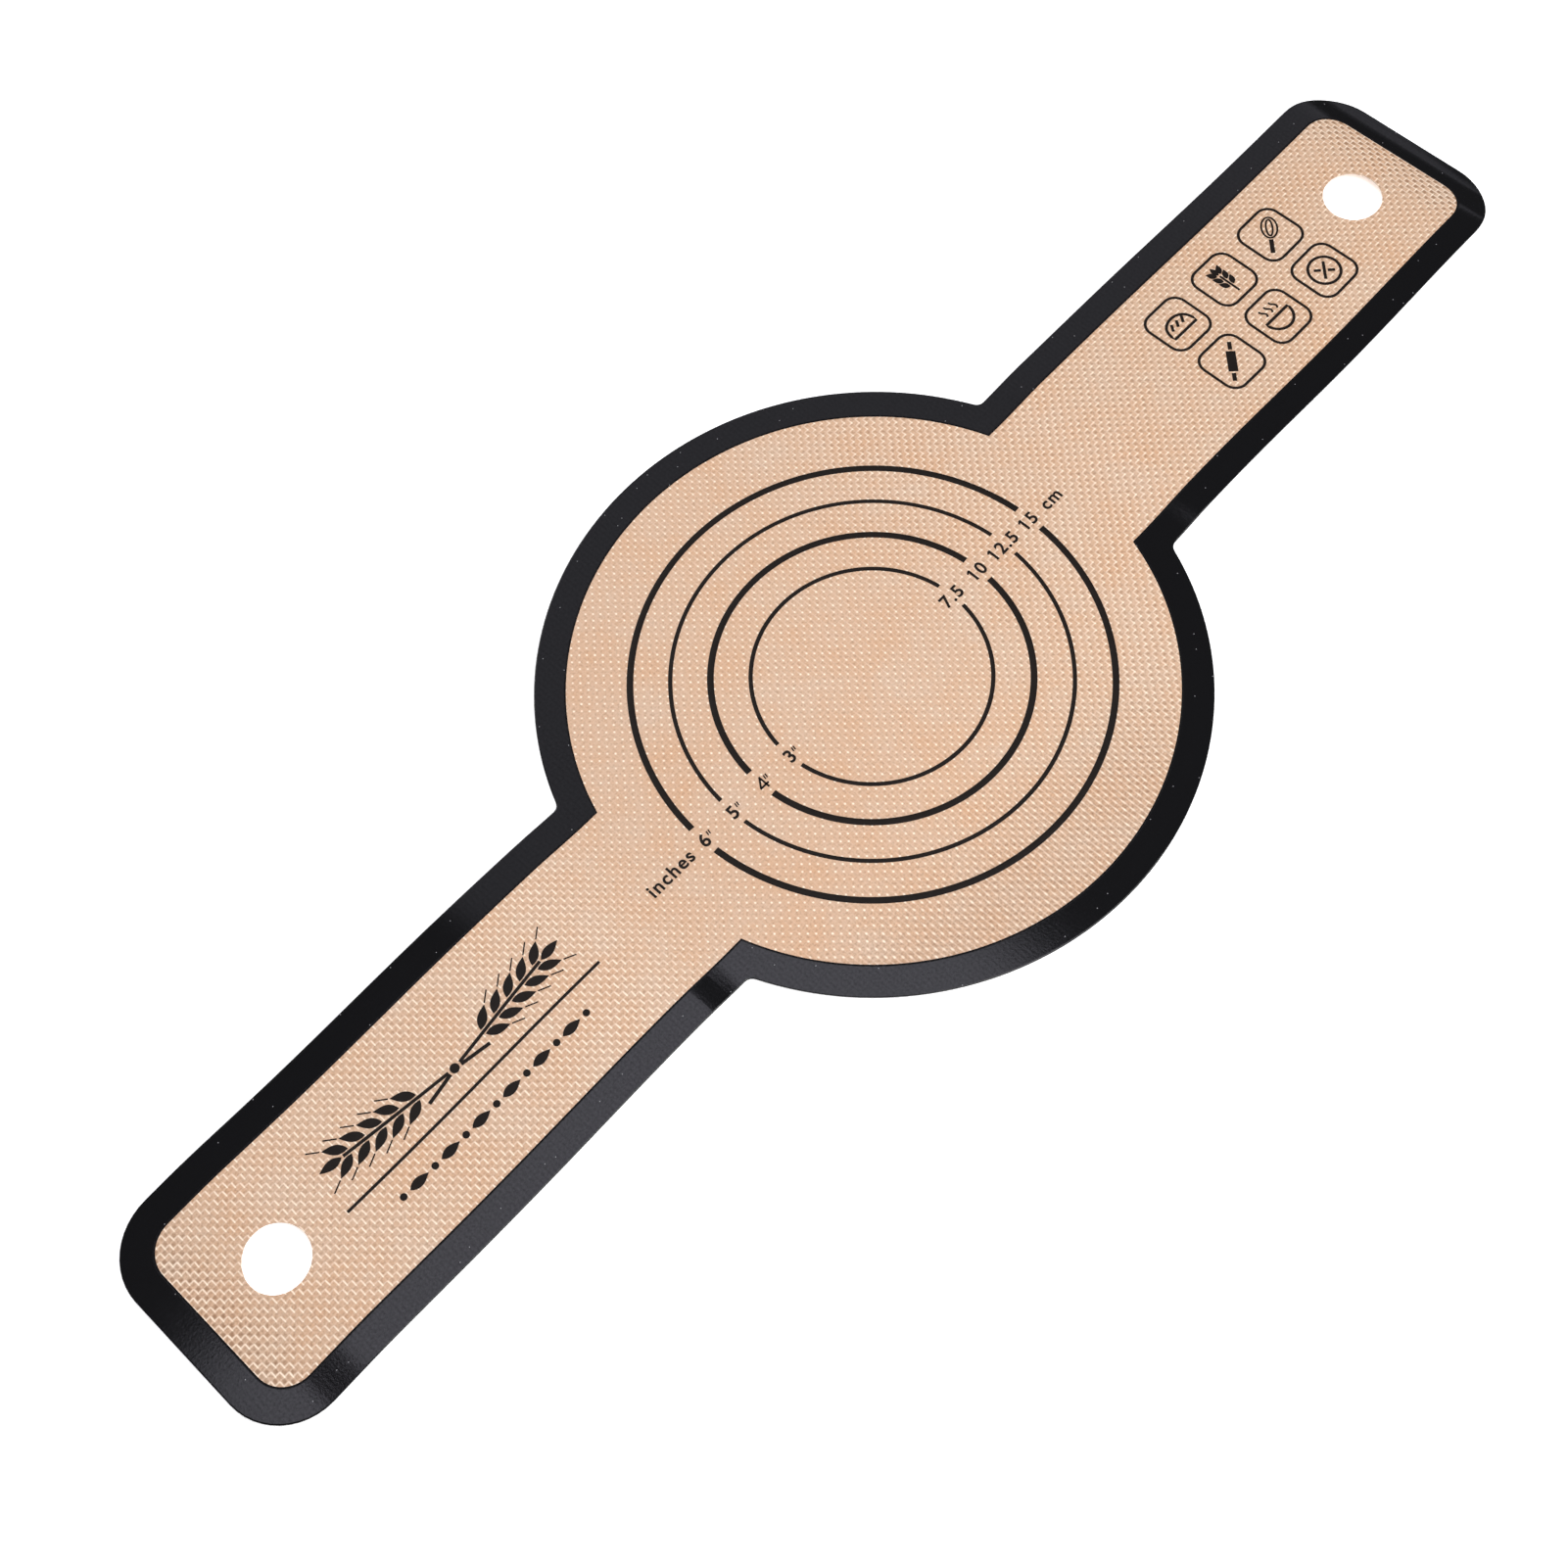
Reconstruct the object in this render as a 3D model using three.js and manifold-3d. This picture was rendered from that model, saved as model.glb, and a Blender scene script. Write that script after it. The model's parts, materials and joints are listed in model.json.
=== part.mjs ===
// Silicone bread sling: a round baking bed with a long handle strap on each side.
// It is one thin laminate of glass cloth between two silicone coats. A black silicone border is
// moulded over the cut edge, and size rings are printed on the bed.
// Millimetres, +Z up. X runs along the handles, and the underside lies on z = 0.

import * as THREE from 'three';
import { mergeVertices } from 'three/addons/utils/BufferGeometryUtils.js';
import Module from 'manifold-3d';

// Outline of the sling
const OVERALL_LENGTH = 558;
const BED_RADIUS = 105;
const HANDLE_WIDTH = 80;
const HANDLE_CORNER_RADIUS = 20;
const NECK_FILLET = 3;

// Black border and the layers of the laminate
const BORDER_WIDTH = 10;
const COAT_THICKNESS = 0.25;
const CLOTH_THICKNESS = 0.25;
const CLOTH_EDGE_COVER = 2;
const CLOTH_EDGE_CLEARANCE = 0.3;

// Hole in each handle, for a finger or a hook
const HOLE_DIAMETER = 20;
const HOLE_FROM_END = 34.5;

// Fold line across the root of each handle
const FOLD_FROM_NECK = 6;
const FOLD_GAP = 0.3;

// Size rings printed on the bed, broken at both ends of the X axis where the numbers stand
const RING_COUNT = 4;
const SMALLEST_RING_DIAMETER = 75;
const RING_DIAMETER_STEP = 25;
const THIN_RING_LINE = 1.35;
const THICK_RING_LINE = 2.1;
const RING_NUMBER_GAP = 10;
const INK_THICKNESS = 0.1;

// Largest distance between a round edge and its facets
const FACET_ERROR = 0.03;

const wasm = await Module();
wasm.setup();

const clothBottom = COAT_THICKNESS;
const clothTop = COAT_THICKNESS + CLOTH_THICKNESS;
const sheetTop = COAT_THICKNESS + CLOTH_THICKNESS + COAT_THICKNESS;
const halfLength = OVERALL_LENGTH / 2;
const foldX = neckEnd(0, NECK_FILLET) + FOLD_FROM_NECK;

const beigeSilicone = { color: 0xe5c1a0, roughness: 0.55, metalness: 0 };
const blackSilicone = { color: 0x141418, roughness: 0.32, metalness: 0 };
const glassFibre = { color: 0xf1e6d6, roughness: 0.8, metalness: 0 };
const blackInk = { color: 0x1d1815, roughness: 0.5, metalness: 0 };

// Points of an arc from one angle to another, both ends included.
function arc(centreX, centreY, radius, fromAngle, toAngle) {
  if (radius <= 0) return [new THREE.Vector2(centreX, centreY)];
  const largestStep = 2 * Math.acos(Math.max(0, 1 - FACET_ERROR / radius));
  const steps = Math.max(2, Math.ceil(Math.abs(toAngle - fromAngle) / largestStep));
  return Array.from({ length: steps + 1 }, (_, step) => {
    const angle = fromAngle + ((toAngle - fromAngle) * step) / steps;
    return new THREE.Vector2(
      centreX + radius * Math.cos(angle),
      centreY + radius * Math.sin(angle),
    );
  });
}

// Where the neck's fillet runs out into the straight edge of the handle.
function neckEnd(inset, fillet) {
  const bedRadius = BED_RADIUS - inset;
  const halfWidth = HANDLE_WIDTH / 2 - inset;
  return Math.sqrt((bedRadius + fillet) ** 2 - (halfWidth + fillet) ** 2);
}

// Edge of the bed on the +Y side, from the right end to the left end, this far in from the cut edge.
// The bed's circle runs into the straight edges of the two handle roots through the neck fillets.
function bedEdge(inset, fillet, endX) {
  const bedRadius = BED_RADIUS - inset;
  const halfWidth = HANDLE_WIDTH / 2 - inset;
  const filletX = neckEnd(inset, fillet);
  const filletY = halfWidth + fillet;
  const neckAngle = Math.atan2(filletY, filletX);
  return [
    new THREE.Vector2(endX, halfWidth),
    ...arc(filletX, filletY, fillet, -Math.PI / 2, neckAngle - Math.PI),
    ...arc(0, 0, bedRadius, neckAngle, Math.PI - neckAngle).slice(1, -1),
    ...arc(-filletX, filletY, fillet, -neckAngle, -Math.PI / 2),
    new THREE.Vector2(-endX, halfWidth),
  ];
}

// Edge of the right handle, from its root on the -Y side round its end to its root on the +Y side.
function handleEdge(inset, rootX) {
  const halfWidth = HANDLE_WIDTH / 2 - inset;
  const endX = halfLength - inset;
  const corner = Math.max(0, Math.min(HANDLE_CORNER_RADIUS, HANDLE_WIDTH / 2) - inset);
  return [
    new THREE.Vector2(rootX, -halfWidth),
    ...arc(endX - corner, corner - halfWidth, corner, -Math.PI / 2, 0),
    ...arc(endX - corner, halfWidth - corner, corner, 0, Math.PI / 2),
    new THREE.Vector2(rootX, halfWidth),
  ];
}

// The same edge turned half round, as on the other side of the sling.
function turned(edge) {
  return edge.map((point) => new THREE.Vector2(-point.x, -point.y));
}

// Flat layer between two heights.
function layer(points, bottom, top, holes = []) {
  const shape = new THREE.Shape(points);
  shape.holes = holes.map((hole) => new THREE.Path(hole));
  const geometry = new THREE.ExtrudeGeometry(shape, { depth: top - bottom, bevelEnabled: false });
  return geometry.translate(0, 0, bottom);
}

function toSolid(geometry) {
  const bare = geometry.clone();
  bare.deleteAttribute('normal');
  bare.deleteAttribute('uv');
  const merged = mergeVertices(bare);
  return new wasm.Manifold(new wasm.Mesh({
    numProp: 3,
    vertProperties: new Float32Array(merged.attributes.position.array),
    triVerts: new Uint32Array(merged.index.array),
  }));
}

// Cuts one geometry out of another.
function cutOut(geometry, cutter) {
  const result = toSolid(geometry).subtract(toSolid(cutter)).getMesh();
  const cut = new THREE.BufferGeometry();
  cut.setAttribute('position', new THREE.BufferAttribute(result.vertProperties, 3));
  cut.setIndex(new THREE.BufferAttribute(result.triVerts, 1));
  return cut;
}

function piece(name, geometry, finish) {
  const mesh = new THREE.Mesh(geometry, new THREE.MeshStandardMaterial(finish));
  mesh.name = name;
  return mesh;
}

// Round bed with the short roots of both handles.
// Its border is a pair of arcs, each a channel that holds the edge of the cloth in its groove.
function makeBed() {
  const endX = foldX - FOLD_GAP / 2;
  const outline = (inset, fillet, end) => {
    const edge = bedEdge(inset, fillet, end);
    return [...edge, ...turned(edge)];
  };
  const beige = outline(BORDER_WIDTH, 0, endX);
  const cloth = outline(CLOTH_EDGE_COVER, NECK_FILLET, endX);
  const groove = outline(CLOTH_EDGE_COVER - CLOTH_EDGE_CLEARANCE, NECK_FILLET, endX + BORDER_WIDTH);
  const band = [...bedEdge(0, NECK_FILLET, endX), ...bedEdge(BORDER_WIDTH, 0, endX).reverse()];
  const channel = cutOut(layer(band, 0, sheetTop), layer(groove, clothBottom, clothTop));
  const frontBorder = piece('bed_border_front', channel, blackSilicone);
  frontBorder.rotation.z = Math.PI;

  const bed = new THREE.Group();
  bed.add(
    piece('bed_lower_coat', layer(beige, 0, clothBottom), beigeSilicone),
    piece('bed_glass_cloth', layer(cloth, clothBottom, clothTop), glassFibre),
    piece('bed_upper_coat', layer(beige, clothTop, sheetTop), beigeSilicone),
    piece('bed_border_rear', channel, blackSilicone),
    frontBorder,
  );
  return bed;
}

// Handle strap with its hole, from the fold line to its rounded end.
// Its border is one U-shaped channel along both sides and round the end.
function makeHandle(side) {
  const rootX = foldX + FOLD_GAP / 2;
  const holeX = halfLength - HOLE_FROM_END;
  const hole = arc(holeX, 0, HOLE_DIAMETER / 2, 0, 2 * Math.PI).slice(0, -1);
  const beige = handleEdge(BORDER_WIDTH, rootX);
  const cloth = handleEdge(CLOTH_EDGE_COVER, rootX);
  const groove = handleEdge(CLOTH_EDGE_COVER - CLOTH_EDGE_CLEARANCE, rootX - BORDER_WIDTH);
  const band = [...handleEdge(0, rootX), ...handleEdge(BORDER_WIDTH, rootX).reverse()];
  const channel = cutOut(layer(band, 0, sheetTop), layer(groove, clothBottom, clothTop));

  const handle = new THREE.Group();
  handle.add(
    piece(`${side}_handle_lower_coat`, layer(beige, 0, clothBottom, [hole]), beigeSilicone),
    piece(`${side}_handle_glass_cloth`, layer(cloth, clothBottom, clothTop, [hole]), glassFibre),
    piece(`${side}_handle_upper_coat`, layer(beige, clothTop, sheetTop, [hole]), beigeSilicone),
    piece(`${side}_handle_border`, channel, blackSilicone),
  );
  return handle;
}

// Half of a printed ring: an arc over the +Y side, whose ends stop short of the numbers.
function ringArc(diameter, lineWidth) {
  const side = (radius) => {
    const start = Math.asin(RING_NUMBER_GAP / 2 / radius);
    return arc(0, 0, radius, start, Math.PI - start);
  };
  const line = [...side((diameter + lineWidth) / 2), ...side((diameter - lineWidth) / 2).reverse()];
  return layer(line, sheetTop, sheetTop + INK_THICKNESS);
}

// Rings from the smallest outwards, with a thin and a thick line by turns.
function makeRings() {
  const rings = new THREE.Group();
  for (let ring = 0; ring < RING_COUNT; ring += 1) {
    const diameter = SMALLEST_RING_DIAMETER + ring * RING_DIAMETER_STEP;
    const geometry = ringArc(diameter, ring % 2 === 0 ? THIN_RING_LINE : THICK_RING_LINE);
    const front = piece(`size_ring_${ring + 1}_front`, geometry, blackInk);
    front.rotation.z = Math.PI;
    rings.add(piece(`size_ring_${ring + 1}_rear`, geometry, blackInk), front);
  }
  return rings;
}

const leftHandle = makeHandle('left');
leftHandle.rotation.z = Math.PI;

const breadSling = new THREE.Group();
breadSling.name = 'bread_sling';
breadSling.add(makeBed(), makeHandle('right'), leftHandle, makeRings());

export default breadSling;
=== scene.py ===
import json
import math

import bpy
from mathutils import Matrix, Vector


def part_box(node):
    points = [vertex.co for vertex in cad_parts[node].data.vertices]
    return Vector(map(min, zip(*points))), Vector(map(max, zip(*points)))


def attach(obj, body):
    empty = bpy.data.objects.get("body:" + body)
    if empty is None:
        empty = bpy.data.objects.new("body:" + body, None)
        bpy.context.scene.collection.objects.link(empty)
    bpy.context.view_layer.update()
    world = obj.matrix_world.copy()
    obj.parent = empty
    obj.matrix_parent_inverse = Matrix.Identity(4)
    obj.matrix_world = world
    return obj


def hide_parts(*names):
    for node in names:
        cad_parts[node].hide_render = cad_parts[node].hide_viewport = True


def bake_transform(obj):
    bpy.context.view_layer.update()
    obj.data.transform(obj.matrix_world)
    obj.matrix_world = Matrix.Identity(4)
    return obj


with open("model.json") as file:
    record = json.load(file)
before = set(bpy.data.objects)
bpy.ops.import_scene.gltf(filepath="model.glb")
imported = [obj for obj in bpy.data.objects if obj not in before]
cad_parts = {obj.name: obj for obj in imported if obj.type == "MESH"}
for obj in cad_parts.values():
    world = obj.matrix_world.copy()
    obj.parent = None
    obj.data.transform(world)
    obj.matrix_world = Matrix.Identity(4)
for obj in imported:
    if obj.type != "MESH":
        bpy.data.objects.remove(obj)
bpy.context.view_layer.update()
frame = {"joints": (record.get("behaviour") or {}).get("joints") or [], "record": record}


# Table top and studio. The sling lies on a plain white table, under a bright soft box and a
# dimmer one whose edges show in the gloss of the black border. A key light behind the camera
# gives most of the light.
MM = 0.001
TABLE_SIZE = 6.0
TABLE_HEIGHT = -0.3 * MM
COOL_WHITE = (0.89, 0.875, 1.0)
WARM_WHITE = (1.0, 1.0, 0.985)


def new_material(name):
    material = bpy.data.materials.new(name)
    material.use_nodes = True
    return material


# A socket gets either a plain value or what another node gives.
def feed(socket, value):
    if isinstance(value, bpy.types.NodeSocket):
        socket.id_data.links.new(value, socket)
    else:
        socket.default_value = value


def add_noise(place, scale, detail=2.0, roughness=0.5):
    noise = place.id_data.nodes.new("ShaderNodeTexNoise")
    noise.inputs["Scale"].default_value = scale
    noise.inputs["Detail"].default_value = detail
    noise.inputs["Roughness"].default_value = roughness
    feed(noise.inputs["Vector"], place)
    return noise.outputs


# Runs from one colour to another while a value goes from low to high.
def two_tones(value, low_tone, high_tone, low=0.0, high=1.0):
    ramp = value.id_data.nodes.new("ShaderNodeValToRGB")
    stops = ramp.color_ramp.elements
    stops[0].position = low
    stops[0].color = low_tone
    stops[1].position = high
    stops[1].color = high_tone
    feed(ramp.inputs["Fac"], value)
    return ramp.outputs["Color"]


def set_shader(material, values):
    shader = material.node_tree.nodes["Principled BSDF"]
    for name, value in values.items():
        feed(shader.inputs[name], value)


bpy.ops.object.select_all(action="DESELECT")
bpy.ops.mesh.primitive_plane_add(size=TABLE_SIZE, location=(0.0, 0.0, TABLE_HEIGHT))
table_top = bpy.context.object
table_top.name = "table_top"
table_paint = new_material("white_table_paint")
table_place = table_paint.node_tree.nodes.new("ShaderNodeTexCoord")
table_grain = add_noise(table_place.outputs["Object"], 40.0)
set_shader(table_paint, {
    "Base Color": two_tones(table_grain["Fac"], (0.89, 0.89, 0.89, 1.0), (0.91, 0.91, 0.91, 1.0)),
    "Roughness": 0.9,
    "Specular IOR Level": 0.0,
    "Emission Color": (1.0, 1.0, 1.0, 1.0),
    "Emission Strength": 0.5,
})
table_top.data.materials.append(table_paint)


def add_soft_box(name, place, aim, width, depth, watts, colour):
    bpy.ops.object.light_add(type="AREA", location=place)
    soft_box = bpy.context.object
    soft_box.name = name
    soft_box.data.shape = "RECTANGLE"
    soft_box.data.size = width
    soft_box.data.size_y = depth
    soft_box.data.energy = watts
    soft_box.data.color = colour
    facing = Vector(aim) - Vector(place)
    soft_box.rotation_euler = facing.to_track_quat("-Z", "Y").to_euler()


add_soft_box(
    "overhead_soft_box", place=(-0.075, 0.0125, 1.0), aim=(-0.075, 0.0125, 0.0),
    width=0.71, depth=0.625, watts=2.82, colour=COOL_WHITE)
add_soft_box(
    "side_soft_box", place=(1.01, 0.635, 1.0), aim=(1.01, 0.635, 0.0),
    width=1.98, depth=0.53, watts=1.68, colour=COOL_WHITE)
add_soft_box(
    "key_soft_box", place=(0.08, -0.55, 0.85), aim=(0.0, 0.0, 0.0),
    width=0.8, depth=0.5, watts=9.2, colour=WARM_WHITE)
add_soft_box(
    "rear_soft_box", place=(0.0, 1.25, 0.95), aim=(0.0, 0.0, 0.0),
    width=0.8, depth=0.5, watts=12.5, colour=WARM_WHITE)

studio = bpy.data.worlds.new("studio")
studio.use_nodes = True
studio.node_tree.nodes["Background"].inputs["Color"].default_value = (1.0, 1.0, 1.0, 1.0)
studio.node_tree.nodes["Background"].inputs["Strength"].default_value = 0.05
bpy.context.scene.world = studio
bpy.context.scene.view_settings.view_transform = "Standard"

# Camera: seen from above the front of the left handle, with the bed a little above the middle.
turned_round = Matrix.Rotation(math.radians(-41.546), 4, "Z")
tilted_down = Matrix.Rotation(math.radians(90.0 - 65.476), 4, "X")
rolled = Matrix.Rotation(math.radians(-5.867), 4, "Z")
from_bed_centre = Matrix.Translation((-27.14 * MM, -33.79 * MM, 633.33 * MM))
bpy.ops.object.camera_add()
camera = bpy.context.object
camera.matrix_world = turned_round @ tilted_down @ rolled @ from_bed_centre
camera.data.sensor_width = 36.0
camera.data.lens = 46.98
bpy.context.scene.camera = camera


# Bed of the sling: one round sheet of woven glass cloth between two beige silicone coats, with
# the roots of both handles. The coats follow the threads, so the weave stands out as a low relief.
# Its edge ends under the black border.
FOLD_X = frame["joints"][0]["pos_m"][0]
BORDER_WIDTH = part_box("right_handle_border")[1].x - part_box("right_handle_upper_coat")[1].x
BED_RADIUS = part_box("bed_border_rear")[1].y
HANDLE_HALF_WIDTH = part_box("right_handle_border")[1].y
NECK_FILLET = 3.0 * MM
ROOT_STEPS = 4
FILLET_STEPS = 5
ARC_STEPS = 36
SHEET_TOP = 0.72 * MM
SHEET_BOTTOM = 0.06 * MM
SHEET_SMOOTHING = math.radians(40)
UNDER_BORDER = 1.0 * MM
PUNCH_DEPTH = 10.0 * MM
THREAD_PITCH_X = 1.65 * MM
THREAD_PITCH_Y = 1.81 * MM
WEAVE_RELIEF = 0.07 * MM
RISE_START = 93.0 * MM
RISE_LENGTH = 24.0 * MM
LIFT = {"left": 1.35 * MM, "right": 1.75 * MM}
WAVE = 0.75 * MM
WAVE_CREST = 137.0 * MM
WAVE_LENGTH = 125.0 * MM
TILT = {"left": 0.40 * MM, "right": 0.0}
TWIST = {"left": 0.45 * MM, "right": 0.60 * MM}
TWIST_CREST = {"left": 172.0 * MM, "right": 187.0 * MM}
TWIST_LENGTH = 115.0 * MM
SETTLING = 0.3 * MM
END_FALL = {"left": 0.75, "right": 1.0}
END_FALL_START = {"left": 236.0 * MM, "right": 262.0 * MM}
END_FALL_LENGTH = {"left": 30.0 * MM, "right": 17.0 * MM}


def pick(piece):
    bpy.ops.object.select_all(action="DESELECT")
    piece.select_set(True)
    bpy.context.view_layer.objects.active = piece


def finish_with(piece, kind, **settings):
    pick(piece)
    modifier = piece.modifiers.new(kind.lower(), kind)
    for setting, value in settings.items():
        setattr(modifier, setting, value)
    bpy.ops.object.modifier_apply(modifier=modifier.name)


def toward(angle):
    return Vector((math.cos(angle), math.sin(angle)))


# Stations along the bed's edge on the +Y side, from the right fold line to the left one.
# Each is a point on the cut edge and the point across the border from it.
def bed_edge():
    inner_radius = BED_RADIUS - BORDER_WIDTH
    inner_half_width = HANDLE_HALF_WIDTH - BORDER_WIDTH
    fillet_y = HANDLE_HALF_WIDTH + NECK_FILLET
    fillet_x = math.sqrt((BED_RADIUS + NECK_FILLET) ** 2 - fillet_y ** 2)
    inner_x = math.sqrt(inner_radius ** 2 - inner_half_width ** 2)
    neck_angle = math.atan2(fillet_y, fillet_x)
    inner_angle = math.atan2(inner_half_width, inner_x)
    inner_corner = Vector((inner_x, inner_half_width))
    half = []
    for step in range(ROOT_STEPS):
        along = step / ROOT_STEPS
        outer = Vector((FOLD_X + (fillet_x - FOLD_X) * along, HANDLE_HALF_WIDTH))
        inner = Vector((FOLD_X + (inner_x - FOLD_X) * along, inner_half_width))
        half.append((outer, inner))
    for step in range(FILLET_STEPS + 1):
        angle = -math.pi / 2 - (math.pi / 2 - neck_angle) * step / FILLET_STEPS
        half.append((Vector((fillet_x, fillet_y)) + NECK_FILLET * toward(angle), inner_corner))
    for step in range(1, ARC_STEPS + 1):
        outer = BED_RADIUS * toward(neck_angle + (math.pi / 2 - neck_angle) * step / ARC_STEPS)
        inner = inner_radius * toward(inner_angle + (math.pi / 2 - inner_angle) * step / ARC_STEPS)
        half.append((outer, inner))
    mirrored = [(Vector((-o.x, o.y)), Vector((-i.x, i.y))) for o, i in reversed(half[:-1])]
    return half + mirrored


# The same stations on the other side of the sling, half a turn round.
def half_turned(edge):
    return [(-outer, -inner) for outer, inner in edge]


# Outline of a sheet whose edge lies a little way under the border.
def under_border(edge):
    share = 1 - UNDER_BORDER / BORDER_WIDTH
    return [outer.lerp(inner, share) for outer, inner in edge]


# Sheet of square meshes laid on the threads, two to a thread, then cut to an outline.
def cut_sheet(name, outline):
    half_x = THREAD_PITCH_X / 2
    half_y = THREAD_PITCH_Y / 2
    first_x = math.floor(min(point.x for point in outline) / half_x) - 1
    last_x = math.ceil(max(point.x for point in outline) / half_x) + 1
    first_y = math.floor(min(point.y for point in outline) / half_y) - 1
    last_y = math.ceil(max(point.y for point in outline) / half_y) + 1
    bpy.ops.mesh.primitive_grid_add(
        x_subdivisions=last_x - first_x, y_subdivisions=last_y - first_y, size=1.0,
        location=((first_x + last_x) * half_x / 2, (first_y + last_y) * half_y / 2, SHEET_TOP))
    bpy.ops.transform.resize(value=((last_x - first_x) * half_x, (last_y - first_y) * half_y, 1.0))
    bpy.ops.object.transform_apply()
    sheet = bpy.context.object
    sheet.name = name
    bpy.ops.mesh.primitive_circle_add(vertices=len(outline), fill_type="NGON")
    punch = bpy.context.object
    for vertex, point in zip(punch.data.vertices, outline):
        vertex.co = (point.x, point.y, -PUNCH_DEPTH)
    press(sheet, punch, "INTERSECT")
    return sheet


# The punch is drawn up into a block and pressed through the sheet.
def press(sheet, punch, operation):
    pick(punch)
    bpy.ops.object.mode_set(mode="EDIT")
    bpy.ops.mesh.select_all(action="SELECT")
    bpy.ops.mesh.extrude_region_move(
        TRANSFORM_OT_translate={"value": (0.0, 0.0, 2 * PUNCH_DEPTH)})
    bpy.ops.mesh.select_all(action="SELECT")
    bpy.ops.mesh.normals_make_consistent(inside=False)
    bpy.ops.object.mode_set(mode="OBJECT")
    finish_with(sheet, "BOOLEAN", operation=operation, object=punch, solver="EXACT")
    bpy.data.objects.remove(punch)


# Keeps where each point lies on the flat sling, so that the weave follows the sheet when it bends.
def keep_flat_place(piece):
    place = piece.data.attributes.new("flat_place", "FLOAT_VECTOR", "POINT")
    for index, vertex in enumerate(piece.data.vertices):
        place.data[index].vector = vertex.co


# Every crossing of two threads is a low pillow, with gaps between the threads.
def raise_weave(sheet):
    for vertex in sheet.data.vertices:
        across_x = 1 - math.cos(2 * math.pi * vertex.co.x / THREAD_PITCH_X)
        across_y = 1 - math.cos(2 * math.pi * vertex.co.y / THREAD_PITCH_Y)
        vertex.co.z += WEAVE_RELIEF * (across_x * across_y / 4 - 0.5)


def eased(share):
    share = min(max(share, 0.0), 1.0)
    return share * share * (3 - 2 * share)


# Height of the lying sheet above the table. The bed lies flat. Each handle springs up at its root
# and runs out in a low wave, with a slight twist. The left end comes down and lies nearly flat, the
# right one droops until its edge meets the table.
def lying_height(x, y):
    side = "left" if x < 0 else "right"
    out = abs(x)
    rise = eased((out - RISE_START) / RISE_LENGTH)
    wave = WAVE * math.cos(2 * math.pi * (out - WAVE_CREST) / WAVE_LENGTH)
    twist = TWIST[side] * math.cos(2 * math.pi * (out - TWIST_CREST[side]) / TWIST_LENGTH)
    height = LIFT[side] + wave + (TILT[side] + twist) * y / HANDLE_HALF_WIDTH
    settled = (height + math.hypot(height, SETTLING)) / 2
    fall = END_FALL[side] * eased((out - END_FALL_START[side]) / END_FALL_LENGTH[side])
    return rise * settled * (1 - fall)


def lay_down(piece):
    for vertex in piece.data.vertices:
        vertex.co.z += lying_height(vertex.co.x, vertex.co.y)


def thicken(sheet):
    finish_with(sheet, "SOLIDIFY", thickness=SHEET_TOP - SHEET_BOTTOM, offset=-1.0)
    bpy.ops.object.shade_smooth_by_angle(angle=SHEET_SMOOTHING)


# One step of arithmetic on the values of a material.
def reckon(operation, *values):
    given = [value for value in values if isinstance(value, bpy.types.NodeSocket)]
    node = given[0].id_data.nodes.new("ShaderNodeMath")
    node.operation = operation
    for socket, value in zip(node.inputs, values):
        feed(socket, value)
    return node.outputs["Value"]


def times(first, second):
    return reckon("MULTIPLY", first, second)


# A value with an amount added to it, in full where the share is 1 and not at all where it is 0.
def plus(value, amount, share):
    return reckon("MULTIPLY_ADD", share, amount, value)


def opposite(share):
    return reckon("SUBTRACT", 1.0, share)


def strongest(first, *others):
    for other in others:
        first = reckon("MAXIMUM", first, other)
    return first


# 0 at one value and 1 at another, with a smooth way between them.
def rising(value, start, end):
    node = value.id_data.nodes.new("ShaderNodeMapRange")
    node.interpolation_type = "SMOOTHSTEP"
    node.inputs["From Min"].default_value = start
    node.inputs["From Max"].default_value = end
    feed(node.inputs["Value"], value)
    return node.outputs["Result"]


# 1 along a line and falling to 0 at the given distance from it.
def near(distance, reach):
    return rising(distance, reach, 0.0)


def mix_tones(share, first_tone, second_tone, blending="MIX"):
    node = share.id_data.nodes.new("ShaderNodeMix")
    node.data_type = "RGBA"
    node.blend_type = blending
    feed(node.inputs["Factor"], share)
    feed(node.inputs["A"], first_tone)
    feed(node.inputs["B"], second_tone)
    return node.outputs["Result"]


def add_bump(height, strength, distance, sunken=False):
    node = height.id_data.nodes.new("ShaderNodeBump")
    node.invert = sunken
    node.inputs["Strength"].default_value = strength
    node.inputs["Distance"].default_value = distance
    feed(node.inputs["Height"], height)
    return node.outputs["Normal"]


# The kept place of a point on the flat sling.
def flat_place(material):
    node = material.node_tree.nodes.new("ShaderNodeAttribute")
    node.attribute_name = "flat_place"
    return node.outputs["Vector"]


def split_axes(place):
    node = place.id_data.nodes.new("ShaderNodeSeparateXYZ")
    feed(node.inputs["Vector"], place)
    return node.outputs["X"], node.outputs["Y"]


# Where a point lies among the threads, counted in threads, with a slight wander of the yarn.
def thread_counts(place):
    x, y = split_axes(place)
    sideways = place.id_data.nodes.new("ShaderNodeSeparateColor")
    feed(sideways.inputs["Color"], add_noise(place, 260.0)["Color"])
    wander_x = plus(-YARN_WANDER / 2, YARN_WANDER, sideways.outputs["Red"])
    wander_y = plus(-YARN_WANDER / 2, YARN_WANDER, sideways.outputs["Green"])
    count_x = reckon("ADD", reckon("DIVIDE", x, THREAD_PITCH_X), wander_x)
    count_y = reckon("ADD", reckon("DIVIDE", y, THREAD_PITCH_Y), wander_y)
    return count_x, count_y


# Distance from the nearest gap between two threads, in threads, from 0 to a half.
def from_gap(count):
    part = reckon("FRACT", reckon("ADD", count, 0.5))
    return reckon("ABSOLUTE", reckon("SUBTRACT", part, 0.5))


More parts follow.
